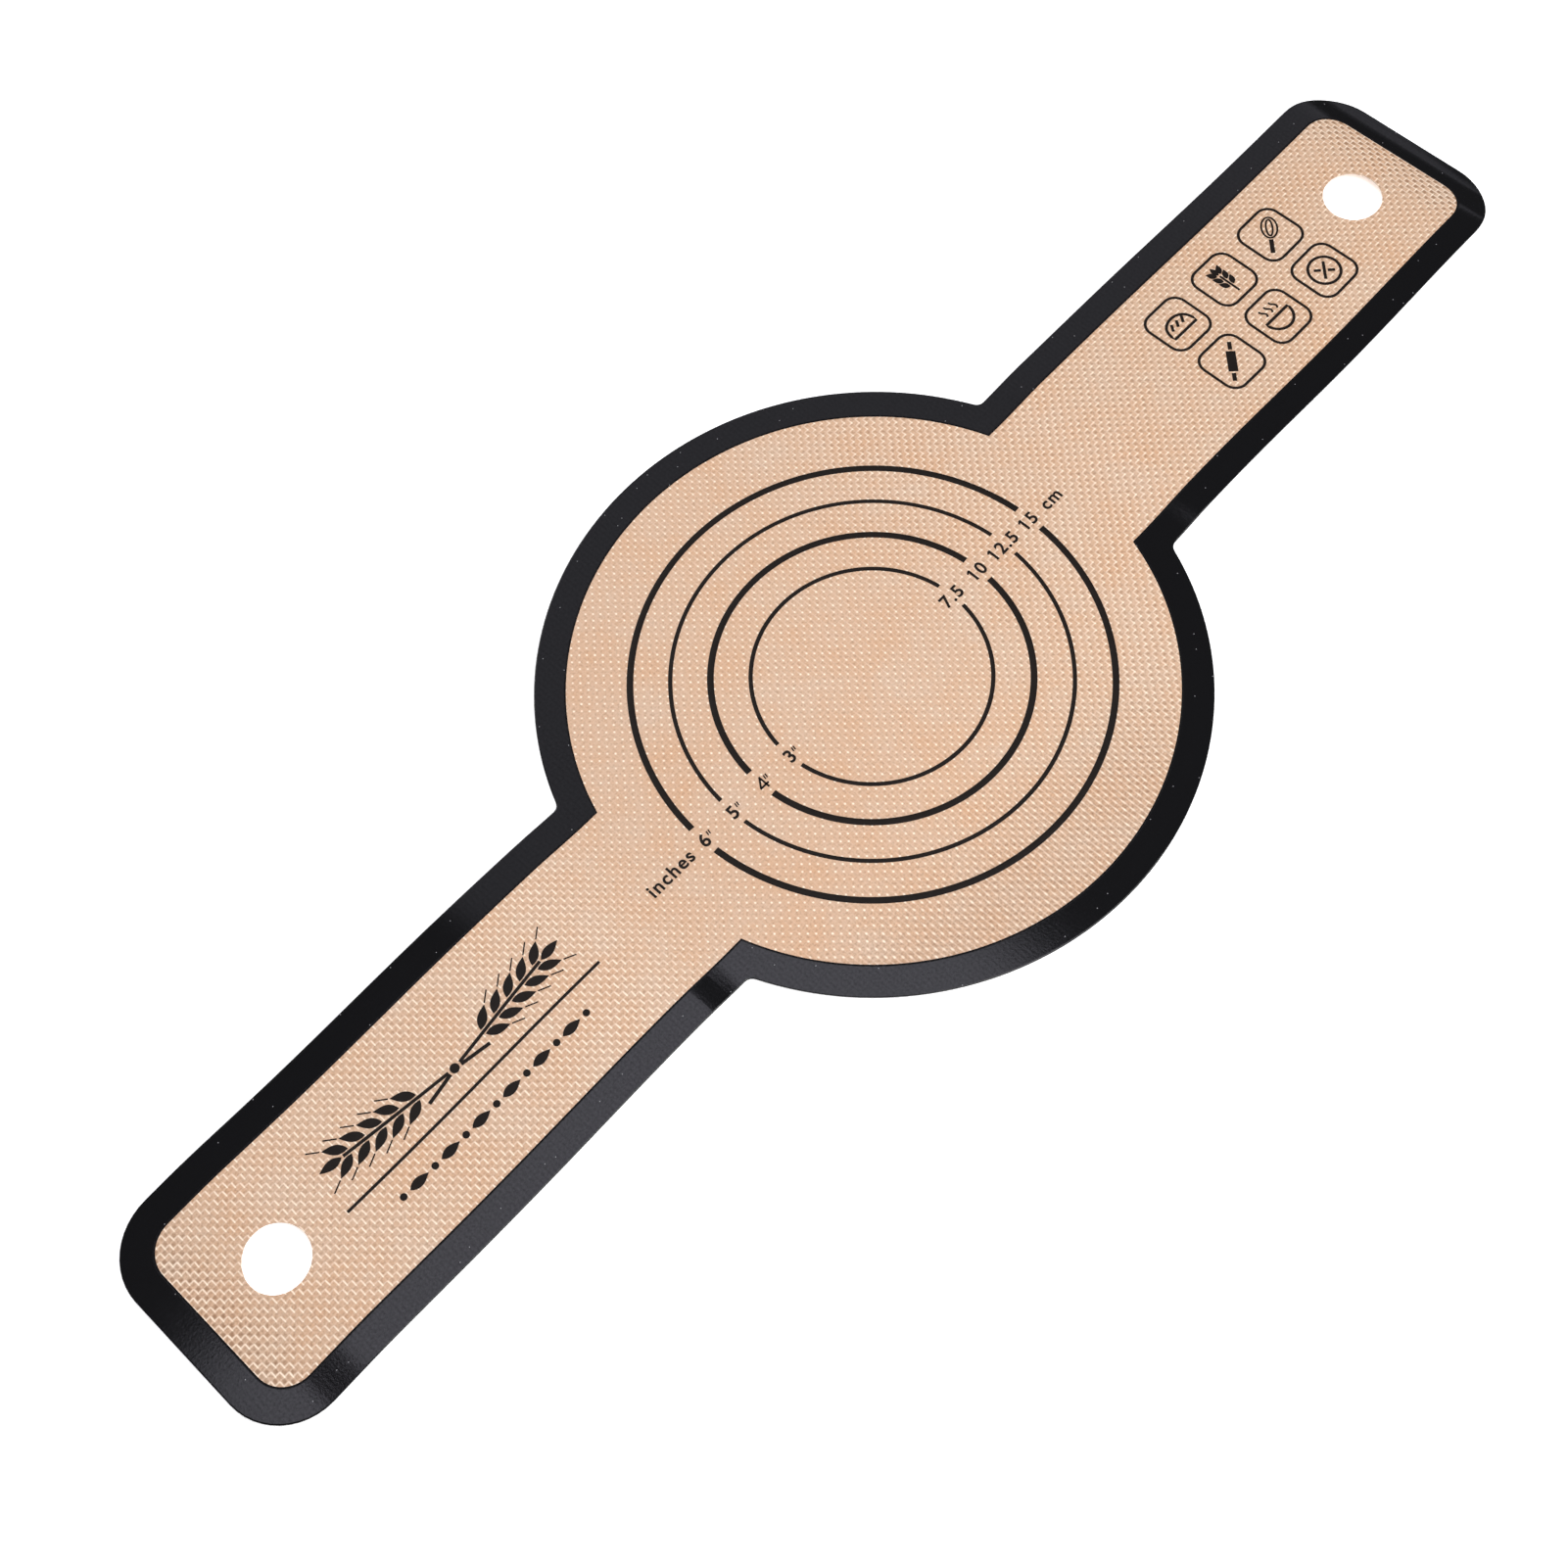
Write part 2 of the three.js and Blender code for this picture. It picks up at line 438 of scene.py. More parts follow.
# The light on the weave changes along the sling. A value is given on the left handle, at the left
# side, the middle and the right side of the bed, and on the right handle.
def along_sling(x, *values):
    share = x.id_data.nodes.new("ShaderNodeMapRange")
    share.inputs["From Min"].default_value = WEAVE_PLACES[0]
    share.inputs["From Max"].default_value = WEAVE_PLACES[-1]
    feed(share.inputs["Value"], x)
    ramp = x.id_data.nodes.new("ShaderNodeValToRGB")
    ramp.color_ramp.interpolation = "EASE"
    stops = ramp.color_ramp.elements
    length = WEAVE_PLACES[-1] - WEAVE_PLACES[0]
    for place in WEAVE_PLACES[1:-1]:
        stops.new((place - WEAVE_PLACES[0]) / length)
    for stop, value in zip(stops, values):
        stop.color = (value, value, value, 1.0)
    feed(ramp.inputs["Fac"], share.outputs["Result"])
    return ramp.outputs["Color"]


# How far a point lies from the nearest bright crossing, in threads along X and along Y. Every
# other crossing is bright, so they are found on axes that run aslant to the threads.
def from_bright_crossing(count_x, count_y):
    total = times(reckon("ADD", count_x, count_y), 0.5)
    difference = times(reckon("SUBTRACT", count_x, count_y), 0.5)
    total = reckon("SUBTRACT", total, reckon("ROUND", total))
    difference = reckon("SUBTRACT", difference, reckon("ROUND", difference))
    return reckon("ADD", total, difference), reckon("SUBTRACT", total, difference)


# Painted highlight tails of the crossings along the gaps of one direction. Each gap is lit in turn
# before and after a highlighted crossing, with a strength given for each.
def painted_highlight_tails(line, side, before, after, fade):
    passed = rising(side, *TAIL_TURN)
    strength = plus(before, reckon("SUBTRACT", after, before), passed)
    return times(times(line, fade), strength)


# Beige coat: tan over the threads and warmer in patches. Every other crossing of the gaps has a
# painted highlight spot, with pale painted highlight tails along the threads, which are longer on the
# handles than on the bed.
SILICONE_IOR = 1.41
YARN_WANDER = 0.24
WEAVE_PLACES = (-130.0 * MM, -70.0 * MM, 0.0, 75.0 * MM, 140.0 * MM)
GAP_LINE_U = 0.26
GAP_LINE_V = 0.24
TAIL_TURN = (-0.3, 0.2)
COOL_TAN = (0.603, 0.424, 0.304, 1.0)
WARM_TAN = (0.600, 0.360, 0.216, 1.0)
# Tone multiplied into the tan for the painted shade on the threads.
PAINTED_SHADE_TONE = (0.55, 0.49, 0.43, 1.0)
# Pale of the glass in the gaps, and of the painted highlights on the weave.
PALE_GLASS_AND_HIGHLIGHT = (1.0, 0.835, 0.67, 1.0)

beige_coat = new_material("beige_silicone_coat")
coat_place = flat_place(beige_coat)
coat_x, coat_y = split_axes(coat_place)
coat_u, coat_v = thread_counts(coat_place)

# Parts of the sling where the painted highlights and painted shade on the weave differ, each a share
# from 0 to 1.
to_right_side = rising(coat_x, 25.0 * MM, 65.0 * MM)
to_front = times(rising(coat_y, -40.0 * MM, -85.0 * MM), plus(1.0, -0.6, to_right_side))
to_left_end = rising(coat_x, -252.0 * MM, -270.0 * MM)
to_right_end = rising(coat_x, 250.0 * MM, 268.0 * MM)

# Painted highlight spots, with their half widths in threads.
spot_u, spot_v = from_bright_crossing(coat_u, coat_v)
spot_half_u = plus(along_sling(coat_x, 0.25, 0.33, 0.31, 0.31, 0.45), 0.03, to_front)
spot_half_v = plus(along_sling(coat_x, 0.36, 0.33, 0.36, 0.31, 0.27), 0.50, to_front)
wide_u = reckon("DIVIDE", spot_u, spot_half_u)
wide_v = reckon("DIVIDE", spot_v, spot_half_v)
spot_reach = reckon("SQRT", reckon("ADD", times(wide_u, wide_u), times(wide_v, wide_v)))
highlight_spot = times(near(spot_reach, 1.0), plus(1.0, -0.30, to_front))

# Pale painted highlight tails of the spots, which fade along each thread.
line_u = near(from_gap(coat_u), GAP_LINE_U)
line_v = near(from_gap(coat_v), GAP_LINE_V)
over_u = reckon("SINE", times(coat_u, math.pi))
over_v = reckon("SINE", times(coat_v, math.pi))
turn_u = reckon("COSINE", times(coat_u, math.pi))
turn_v = reckon("COSINE", times(coat_v, math.pi))
fading = along_sling(coat_x, 0.10, 0.70, 0.70, 0.55, 0.45)
to_front_tail = along_sling(coat_x, 0.05, 0.06, 0.12, 0.10, 0.12)
to_rear_tail = plus(along_sling(coat_x, 0.80, 0.12, 0.45, 0.66, 0.35), 0.40, to_front)
rear_fade = opposite(times(reckon("FRACT", coat_v), fading))
tail_v = painted_highlight_tails(line_u, times(over_v, turn_u), to_front_tail, to_rear_tail, rear_fade)
to_left_tail = along_sling(coat_x, 0.05, 0.05, 0.12, 0.66, 0.80)
to_right_tail = plus(along_sling(coat_x, 0.32, 0.05, 0.08, 0.08, 0.15), 0.30, to_left_end)
left_fade = opposite(times(opposite(reckon("FRACT", coat_u)), fading))
tail_u = painted_highlight_tails(line_v, times(over_u, turn_v), to_left_tail, to_right_tail, left_fade)

# Faint pale lines in all the gaps, partly the paler glass and partly painted light, and the
# unevenness of the yarn.
line_u_strength = plus(along_sling(coat_x, 0.12, 0.08, 0.15, 0.10, 0.20), 0.16, to_front)
line_u_strength = plus(line_u_strength, 0.45, to_right_end)
line_v_strength = along_sling(coat_x, 0.14, 0.06, 0.10, 0.10, 0.14)
pale_and_highlight = strongest(
    times(line_u, line_u_strength), times(line_v, line_v_strength), highlight_spot, tail_u, tail_v)
evenness = plus(0.35, 1.3, add_noise(coat_place, 420.0, detail=3.0)["Fac"])
pale_and_highlight = times(pale_and_highlight, evenness)

# Painted shade on the threads, stronger on every other one and towards the front and the ends, with
# the grain of their fibres.
cell = times(over_u, over_v)
painted_shade_strength = plus(along_sling(coat_x, 0.12, 0.09, 0.12, 0.27, 0.29), 0.20, to_left_end)
painted_shade_strength = plus(painted_shade_strength, 0.45, to_right_end)
painted_shade_level = plus(along_sling(coat_x, 0.20, 0.09, 0.09, 0.20, 0.26), 0.42, to_front)
painted_shade_level = plus(painted_shade_level, 0.40, to_right_end)
painted_shade_level = plus(painted_shade_level, 0.65, times(reckon("ABSOLUTE", cell), to_left_end))
painted_shade_and_grain = times(plus(painted_shade_level, painted_shade_strength, cell), evenness)
fibre_grain = plus(-1.03, 2.0, add_noise(coat_place, 1300.0)["Fac"])
painted_shade_and_grain = reckon("ADD", painted_shade_and_grain, fibre_grain)

coat_mottle = add_noise(coat_place, 40.0, detail=5.0, roughness=0.75)
tan_tone = two_tones(coat_mottle["Fac"], WARM_TAN, COOL_TAN, low=0.32, high=0.68)
tan_with_painted_shade = mix_tones(painted_shade_and_grain, tan_tone, PAINTED_SHADE_TONE, "MULTIPLY")
# The base colour carries the painted highlights and the painted shade of the weave.
set_shader(beige_coat, {
    "Base Color": mix_tones(pale_and_highlight, tan_with_painted_shade, PALE_GLASS_AND_HIGHLIGHT),
    "Roughness": 0.5,
    "IOR": SILICONE_IOR,
    "Normal": add_bump(reckon("ADD", line_u, line_v), 0.35, 0.05 * MM, sunken=True),
})

bed_rear_edge = bed_edge()
bed_outline = under_border(bed_rear_edge) + under_border(half_turned(bed_rear_edge))
bed_sheet = cut_sheet("bed_sheet", bed_outline)
keep_flat_place(bed_sheet)
raise_weave(bed_sheet)
lay_down(bed_sheet)
thicken(bed_sheet)
bed_sheet.data.materials.append(beige_coat)
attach(bed_sheet, "bed")
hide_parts("bed_lower_coat", "bed_glass_cloth", "bed_upper_coat")


# Handle straps: the same coated cloth, running out from the bed to a rounded end with a punched
# hole. Each is one sheet that bends along the fold line across its root, where it leaves the bed.
OUTWARD = {"right": 1, "left": -1}
HANDLE_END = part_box("right_handle_border")[1].x
HANDLE_CORNER = 20.0 * MM
HOLE_RADIUS = 10.0 * MM
ROUND_STEPS = 96
HOLE_LOW, HOLE_HIGH = frame["record"]["physics"]["openings"][0]["box_m"]
HOLE_X = (HOLE_LOW[0] + HOLE_HIGH[0]) / 2
FOLD_LENGTH = 7.0 * MM
FOLD_STEPS = 32
SIDE_STEPS = 34
CORNER_STEPS = 12
END_STEPS = 4


# Stations along the right handle's edge, from its root on the -Y side round its end.
def handle_edge():
    inner_half_width = HANDLE_HALF_WIDTH - BORDER_WIDTH
    corner = Vector((HANDLE_END - HANDLE_CORNER, HANDLE_CORNER - HANDLE_HALF_WIDTH))
    inner_corner = HANDLE_CORNER - BORDER_WIDTH
    fold_end = FOLD_X + FOLD_LENGTH
    along = [FOLD_X + FOLD_LENGTH * step / FOLD_STEPS for step in range(FOLD_STEPS)]
    along += [fold_end + (corner.x - fold_end) * step / SIDE_STEPS for step in range(SIDE_STEPS)]
    half = [(Vector((x, -HANDLE_HALF_WIDTH)), Vector((x, -inner_half_width))) for x in along]
    for step in range(CORNER_STEPS + 1):
        way = toward(-math.pi / 2 + math.pi / 2 * step / CORNER_STEPS)
        half.append((corner + HANDLE_CORNER * way, corner + inner_corner * way))
    for step in range(1, END_STEPS + 1):
        y = corner.y - corner.y * step / END_STEPS
        half.append((Vector((HANDLE_END, y)), Vector((HANDLE_END - BORDER_WIDTH, y))))
    mirrored = [(Vector((o.x, -o.y)), Vector((i.x, -i.y))) for o, i in reversed(half[:-1])]
    return half + mirrored


def punch_hole(strap, side):
    bpy.ops.mesh.primitive_circle_add(
        vertices=ROUND_STEPS, radius=HOLE_RADIUS, fill_type="NGON",
        location=(OUTWARD[side] * HOLE_X, 0.0, -PUNCH_DEPTH))
    punch = bpy.context.object
    bpy.ops.object.transform_apply()
    press(strap, punch, "DIFFERENCE")


# The strap gets closer rows where it bends.
def score_fold(strap, side):
    pick(strap)
    bpy.ops.object.mode_set(mode="EDIT")
    for step in range(1, FOLD_STEPS + 1):
        x = OUTWARD[side] * (FOLD_X + FOLD_LENGTH * step / FOLD_STEPS)
        bpy.ops.mesh.select_all(action="SELECT")
        bpy.ops.mesh.bisect(plane_co=(x, 0.0, 0.0), plane_no=(1.0, 0.0, 0.0))
    bpy.ops.object.mode_set(mode="OBJECT")


# Bakes a piece's placing into its mesh.
def fold_with_handle(piece):
    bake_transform(piece)


handle_edges = {"right": handle_edge(), "left": half_turned(handle_edge())}
for side, edge in handle_edges.items():
    outline = under_border(edge)
    strap = cut_sheet(f"{side}_handle_strap", outline)
    punch_hole(strap, side)
    score_fold(strap, side)
    keep_flat_place(strap)
    raise_weave(strap)
    lay_down(strap)
    thicken(strap)
    strap.data.materials.append(beige_coat)
    fold_with_handle(strap)
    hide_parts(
        f"{side}_handle_lower_coat", f"{side}_handle_glass_cloth", f"{side}_handle_upper_coat")


# Cut edge in each hole: the punched end of the glass cloth, a thin pale line of bare fibre between
# the two coats all round the hole.
RIM_BOTTOM = 0.29 * MM
RIM_TOP = 0.47 * MM
RIM_STANDS_OUT = 0.03 * MM
RIM_DEPTH = 0.15 * MM
RIM_EASING = 0.03 * MM
WELD_DISTANCE = 0.001 * MM
EDGE_SMOOTHING = math.radians(35)

bare_fibre = new_material("bare_glass_fibre")
fibre_ends = add_noise(flat_place(bare_fibre), 1800.0)
set_shader(bare_fibre, {
    "Base Color": two_tones(fibre_ends["Fac"], (0.62, 0.50, 0.38, 1.0), (0.86, 0.79, 0.70, 1.0)),
    "Roughness": 0.8,
})


# A four-sided section with eased corners, standing at an angle round a centre on the X axis.
def ring_section(centre_x, angle, inner, outer, bottom, top, easing):
    bpy.ops.mesh.primitive_plane_add(size=1.0)
    section = bpy.context.object
    for vertex in section.data.vertices:
        across = (outer if vertex.co.x > 0 else inner) * toward(angle)
        vertex.co = (centre_x + across.x, across.y, top if vertex.co.y > 0 else bottom)
    bpy.ops.object.mode_set(mode="EDIT")
    bpy.ops.mesh.select_all(action="SELECT")
    bpy.ops.mesh.bevel(offset=easing, segments=2, affect="VERTICES")
    bpy.ops.object.mode_set(mode="OBJECT")
    return section


def weld(piece, distance=WELD_DISTANCE):
    pick(piece)
    bpy.ops.object.mode_set(mode="EDIT")
    bpy.ops.mesh.select_all(action="SELECT")
    bpy.ops.mesh.remove_doubles(threshold=distance)
    bpy.ops.mesh.normals_make_consistent(inside=False)
    bpy.ops.object.mode_set(mode="OBJECT")


def spin_section(section, centre_x, angle):
    bpy.ops.object.mode_set(mode="EDIT")
    bpy.ops.mesh.select_all(action="SELECT")
    bpy.ops.mesh.spin(
        steps=ROUND_STEPS, angle=angle, center=(centre_x, 0.0, 0.0), axis=(0.0, 0.0, 1.0))
    bpy.ops.object.mode_set(mode="OBJECT")
    weld(section)


for side, out in OUTWARD.items():
    hole_rim = ring_section(
        out * HOLE_X, 0.0, HOLE_RADIUS - RIM_STANDS_OUT, HOLE_RADIUS + RIM_DEPTH,
        RIM_BOTTOM, RIM_TOP, RIM_EASING)
    hole_rim.name = f"{side}_hole_cut_edge"
    bpy.ops.object.mode_set(mode="EDIT")
    bpy.ops.mesh.select_all(action="SELECT")
    bpy.ops.mesh.delete(type="ONLY_FACE")
    bpy.ops.object.mode_set(mode="OBJECT")
    spin_section(hole_rim, out * HOLE_X, 2 * math.pi)
    bpy.ops.object.shade_smooth_by_angle(angle=EDGE_SMOOTHING)
    keep_flat_place(hole_rim)
    lay_down(hole_rim)
    hole_rim.data.materials.append(bare_fibre)
    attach(hole_rim, f"{side}_handle")


# Black border: silicone moulded over the cut edge of the cloth, top and bottom, with a rounded
# outer edge. It is shaped here as a straight strip in short lengths and then laid round the edge.
BORDER_TOP = 0.80 * MM
BORDER_BOTTOM = 0.0
BORDER_ROUND = 0.30 * MM
BORDER_INNER_ROUND = 0.06 * MM
BORDER_CUTS = (0.5 * MM, 2.5 * MM, 5.0 * MM, 7.5 * MM, BORDER_WIDTH - 0.2 * MM)
COVERED_GAP = 0.35
DEEP_BLACK = (0.0060, 0.0060, 0.0068, 1.0)
DUST_GREY = (0.42, 0.42, 0.44, 1.0)
DUST_SIZE = 0.018
MATT_EDGE = (0.92, 0.96)


# The gaps of the cloth below still show faintly through a layer over it.
def covered_gaps(place):
    count_x, count_y = thread_counts(place)
    return near(from_gap(count_x), COVERED_GAP), near(from_gap(count_y), COVERED_GAP)


black_border = new_material("black_silicone_border")
border_place = flat_place(black_border)
border_gap_u, border_gap_v = covered_gaps(border_place)
border_grain = add_noise(border_place, 1300.0, detail=3.0, roughness=0.7)["Fac"]
border_height = plus(border_grain, 0.06, reckon("ADD", border_gap_u, border_gap_v))
border_dust = black_border.node_tree.nodes.new("ShaderNodeTexVoronoi")
border_dust.voronoi_dimensions = "2D"
border_dust.inputs["Scale"].default_value = 80.0
feed(border_dust.inputs["Vector"], border_place)
border_speck = near(border_dust.outputs["Distance"], DUST_SIZE)
border_inset = black_border.node_tree.nodes.new("ShaderNodeAttribute")
border_inset.attribute_name = "inset"
border_matt = rising(border_inset.outputs["Fac"], *MATT_EDGE)
border_gloss = plus(0.15, 0.75, border_grain)
border_gloss = plus(border_gloss, -0.06, border_gap_u)
border_gloss = plus(border_gloss, -0.45, border_matt)
set_shader(black_border, {
    "Base Color": mix_tones(border_speck, DEEP_BLACK, DUST_GREY),
    "Roughness": plus(0.07, 0.40, border_matt),
    "Specular IOR Level": strongest(border_gloss, 0.02),
    "IOR": SILICONE_IOR,
    "Normal": add_bump(border_height, 0.5, 0.03 * MM),
})


# One short length of the strip, open at both ends, with its rounded and its plain edge, repeated.
# X counts stations along the strip, Y is the distance in from the cut edge.
def border_strip(name, lengths):
    bpy.ops.mesh.primitive_cube_add(size=1.0)
    strip = bpy.context.object
    strip.name = name
    bpy.ops.object.mode_set(mode="EDIT")
    bpy.ops.mesh.select_mode(type="FACE")
    bpy.ops.mesh.select_all(action="DESELECT")
    bpy.ops.object.mode_set(mode="OBJECT")
    for face in strip.data.polygons:
        face.select = abs(face.normal.x) > 0.5
    bpy.ops.object.mode_set(mode="EDIT")
    bpy.ops.mesh.delete(type="ONLY_FACE")
    bpy.ops.object.mode_set(mode="OBJECT")
    for vertex in strip.data.vertices:
        station = 0.0 if vertex.co.x < 0 else 1.0
        inset = 0.0 if vertex.co.y < 0 else BORDER_WIDTH
        height = BORDER_BOTTOM if vertex.co.z < 0 else BORDER_TOP
        vertex.co = (station, inset, height)
    round_strip_edges(strip, 0.0, BORDER_ROUND, 4)
    round_strip_edges(strip, BORDER_WIDTH, BORDER_INNER_ROUND, 2)
    for inset in BORDER_CUTS:
        bpy.ops.object.mode_set(mode="EDIT")
        bpy.ops.mesh.select_all(action="SELECT")
        bpy.ops.mesh.bisect(plane_co=(0.0, inset, 0.0), plane_no=(0.0, 1.0, 0.0))
        bpy.ops.object.mode_set(mode="OBJECT")
    finish_with(
        strip, "ARRAY", count=lengths, use_relative_offset=False, use_constant_offset=True,
        constant_offset_displace=(1.0, 0.0, 0.0), use_merge_vertices=True, merge_threshold=1e-6)
    bpy.ops.object.mode_set(mode="EDIT")
    bpy.ops.mesh.select_all(action="SELECT")
    bpy.ops.mesh.fill_holes(sides=0)
    bpy.ops.object.mode_set(mode="OBJECT")
    return strip


def round_strip_edges(strip, inset, radius, steps):
    bpy.ops.object.mode_set(mode="EDIT")
    bpy.ops.mesh.select_all(action="DESELECT")
    bpy.ops.mesh.select_mode(type="EDGE")
    bpy.ops.object.mode_set(mode="OBJECT")
    corners = strip.data.vertices
    for line in strip.data.edges:
        ends = [corners[index].co for index in line.vertices]
        line.select = abs(ends[0].x - ends[1].x) > 0.5 and abs(ends[0].y - inset) < 1e-6
    bpy.ops.object.mode_set(mode="EDIT")
    bpy.ops.mesh.bevel(offset=radius, segments=steps, affect="EDGES")
    bpy.ops.object.mode_set(mode="OBJECT")


# Lays the strip along the stations of an edge.
def lay_border(name, edge):
    strip = border_strip(name, len(edge) - 1)
    inset = strip.data.attributes.new("inset", "FLOAT", "POINT")
    for vertex in strip.data.vertices:
        share = vertex.co.y / BORDER_WIDTH
        inset.data[vertex.index].value = share
        outer, inner = edge[round(vertex.co.x)]
        across = outer.lerp(inner, share)
        vertex.co = (across.x, across.y, vertex.co.z)
    weld(strip)
    bpy.ops.object.shade_smooth_by_angle(angle=EDGE_SMOOTHING)
    keep_flat_place(strip)
    lay_down(strip)
    strip.data.materials.append(black_border)
    return strip


bed_edges = {"bed_border_rear": bed_rear_edge, "bed_border_front": half_turned(bed_rear_edge)}
for name, edge in bed_edges.items():
    border = lay_border(f"{name}_moulding", edge)
    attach(border, "bed")
    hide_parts(name)

for side, edge in handle_edges.items():
    border = lay_border(f"{side}_handle_border_moulding", edge)
    fold_with_handle(border)
    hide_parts(f"{side}_handle_border")


# Size rings: lines of black silicone ink printed on the bed, thin and thick by turns. Each ring is
# broken at both ends of the handles' axis, where its two numbers stand.
INK_BOTTOM = 0.66 * MM
INK_TOP = 0.80 * MM
INK_EASING = 0.04 * MM
RING_NUMBER_GAP = 10.0 * MM
RING_LINES = {1: 1.35 * MM, 2: 2.1 * MM, 3: 1.35 * MM, 4: 2.1 * MM}
DARK_INK = (0.0085, 0.0065, 0.0055, 1.0)
BROWN_INK = (0.0150, 0.0115, 0.0100, 1.0)

black_ink = new_material("black_silicone_ink")
ink_place = flat_place(black_ink)
ink_mottle = add_noise(ink_place, 400.0)
set_shader(black_ink, {
    "Base Color": two_tones(ink_mottle["Fac"], DARK_INK, BROWN_INK),
    "Roughness": 0.55,
    "Specular IOR Level": 0.12,
    "IOR": SILICONE_IOR,
    "Normal": add_bump(reckon("ADD", *covered_gaps(ink_place)), 0.3, 0.04 * MM),
})


# Half of a ring: a flat line section with eased corners, spun about the bed's centre.
def ring_half(radius, line, turned):
    gap_angle = math.asin(RING_NUMBER_GAP / 2 / radius)
    half = ring_section(
        0.0, turned + gap_angle, radius - line / 2, radius + line / 2,
        INK_BOTTOM, INK_TOP, INK_EASING)
    spin_section(half, 0.0, 2 * gap_angle - math.pi)
    return half


def join_pieces(name, pieces):
    bpy.ops.object.select_all(action="DESELECT")
    for part in pieces:
        part.select_set(True)
    bpy.context.view_layer.objects.active = pieces[0]
    bpy.ops.object.join()
    joined = bpy.context.object
    joined.name = name
    return joined


for ring, line in RING_LINES.items():
    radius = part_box(f"size_ring_{ring}_rear")[1].y - line / 2
    halves = [ring_half(radius, line, turned) for turned in (0.0, math.pi)]
    printed_ring = join_pieces(f"printed_ring_{ring}", halves)
    bpy.ops.object.shade_smooth_by_angle(angle=EDGE_SMOOTHING)
    keep_flat_place(printed_ring)
    printed_ring.data.materials.append(black_ink)
    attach(printed_ring, "bed")
    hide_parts(f"size_ring_{ring}_rear", f"size_ring_{ring}_front")


# Size scale: plain numbers printed in the gaps of the rings, inches towards the left handle and
# centimetres towards the right, each row ending in its unit. The 4, the flags of the 1s and the
# inch marks are drawn as strokes. Places and widths of print are in millimetres.
NUMBER_SIZE = 6.2 * MM
NUMBER_WEIGHT = 0.13 * MM
NUMBER_SPACING = 1.15
NUMBER_Y = -0.6 * MM
SCALE_PRINT = (
    ("inches", -89.4), ("6", -75.0), ("5", -62.6), ("3", -37.5),
    ("7.5", 37.0), ("10", 49.1), ("12.5", 61.6), ("15", 73.9), ("cm", 85.0),
)
FOUR_STROKES = (
    ((-49.0, 1.55), (-51.2, -1.25)), ((-51.5, -1.4), (-48.0, -1.4)), ((-49.0, 1.8), (-49.0, -2.65)),
)
NUMBER_LINE = 0.62
FLAG_ROOT = Vector((0.3, -0.25))
FLAG_TIP = Vector((-0.6, -1.0))
FLAG_LINE = 0.56
INCH_MARKS = (-72.3, -59.9, -47.4, -34.9)
INCH_MARK_TOP = 1.25
INCH_MARK_FOOT = -0.15
INCH_MARK_APART = 0.75
INCH_MARK_LINE = 0.44
INCH_MARK_LEAN = 0.15
STROKE_WELD = 0.005 * MM
STRAIGHT_STEP = 2.0


def print_text(words, x):
    bpy.ops.object.text_add()
    text = bpy.context.object
    text.data.body = words
    text.data.size = NUMBER_SIZE
    text.data.offset = NUMBER_WEIGHT
    text.data.space_character = NUMBER_SPACING
    text.data.align_x = "CENTER"
    text.data.align_y = "CENTER"
    text.data.extrude = (INK_TOP - INK_BOTTOM) / 2
    text.data.resolution_u = 4
    bpy.ops.object.convert(target="MESH")
    printed = bpy.context.object
    printed.location = (x * MM, NUMBER_Y, (INK_TOP + INK_BOTTOM) / 2)
    bpy.ops.object.transform_apply()
    return printed


# A stroke is a narrow grid laid along its points, with half its width given at each point.
def ink_stroke(points, half_widths, closed=False):
    if closed:
        points = points + points[:1]
        half_widths = half_widths + half_widths[:1]
    last = len(points) - 1
    bpy.ops.mesh.primitive_grid_add(x_subdivisions=last, y_subdivisions=2, size=1.0)
    stroke = bpy.context.object
    for vertex in stroke.data.vertices:
        index = round((vertex.co.x + 0.5) * last)
        before = points[index - 1] if index > 0 else points[-2 if closed else 0]
        after = points[index + 1] if index < last else points[1 if closed else last]
        along = (Vector(after) - Vector(before)).normalized()
        aside = Vector((-along.y, along.x)) * half_widths[index] * 2 * vertex.co.y
        vertex.co = ((points[index][0] + aside.x) * MM, (points[index][1] + aside.y) * MM, INK_TOP)
    weld(stroke, STROKE_WELD)
    if stroke.data.polygons[0].normal.z < 0:
        stroke.data.flip_normals()
    finish_with(stroke, "SOLIDIFY", thickness=INK_TOP - INK_BOTTOM, offset=-1.0)
    return stroke


def straight(start, end, line):
    start = Vector(start)
    end = Vector(end)
    steps = max(1, round((end - start).length / STRAIGHT_STEP))
    points = [tuple(start.lerp(end, step / steps)) for step in range(steps + 1)]
    return ink_stroke(points, [line / 2] * (steps + 1))


# The short flag at the top of a 1 that stands first in its number.
def flag_of_one(number):
    left = min(vertex.co.x for vertex in number.data.vertices) / MM
    top = max(vertex.co.y for vertex in number.data.vertices) / MM
    corner = Vector((left, top))
    return straight(corner + FLAG_ROOT, corner + FLAG_TIP, FLAG_LINE)


scale_pieces = []
for words, x in SCALE_PRINT:
    scale_pieces.append(print_text(words, x))
    if words.startswith("1"):
        scale_pieces.append(flag_of_one(scale_pieces[-1]))
for start, end in FOUR_STROKES:
    scale_pieces.append(straight(start, end, NUMBER_LINE))
for x in INCH_MARKS:
    for stroke_x in (x - INCH_MARK_APART / 2, x + INCH_MARK_APART / 2):
        top = (stroke_x + INCH_MARK_LEAN, INCH_MARK_TOP)
        foot = (stroke_x - INCH_MARK_LEAN, INCH_MARK_FOOT)
        scale_pieces.append(straight(top, foot, INCH_MARK_LINE))
scale_print = join_pieces("size_scale_print", scale_pieces)
weld(scale_print)
keep_flat_place(scale_print)
lay_down(scale_print)
scale_print.data.materials.append(black_ink)
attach(scale_print, "bed")


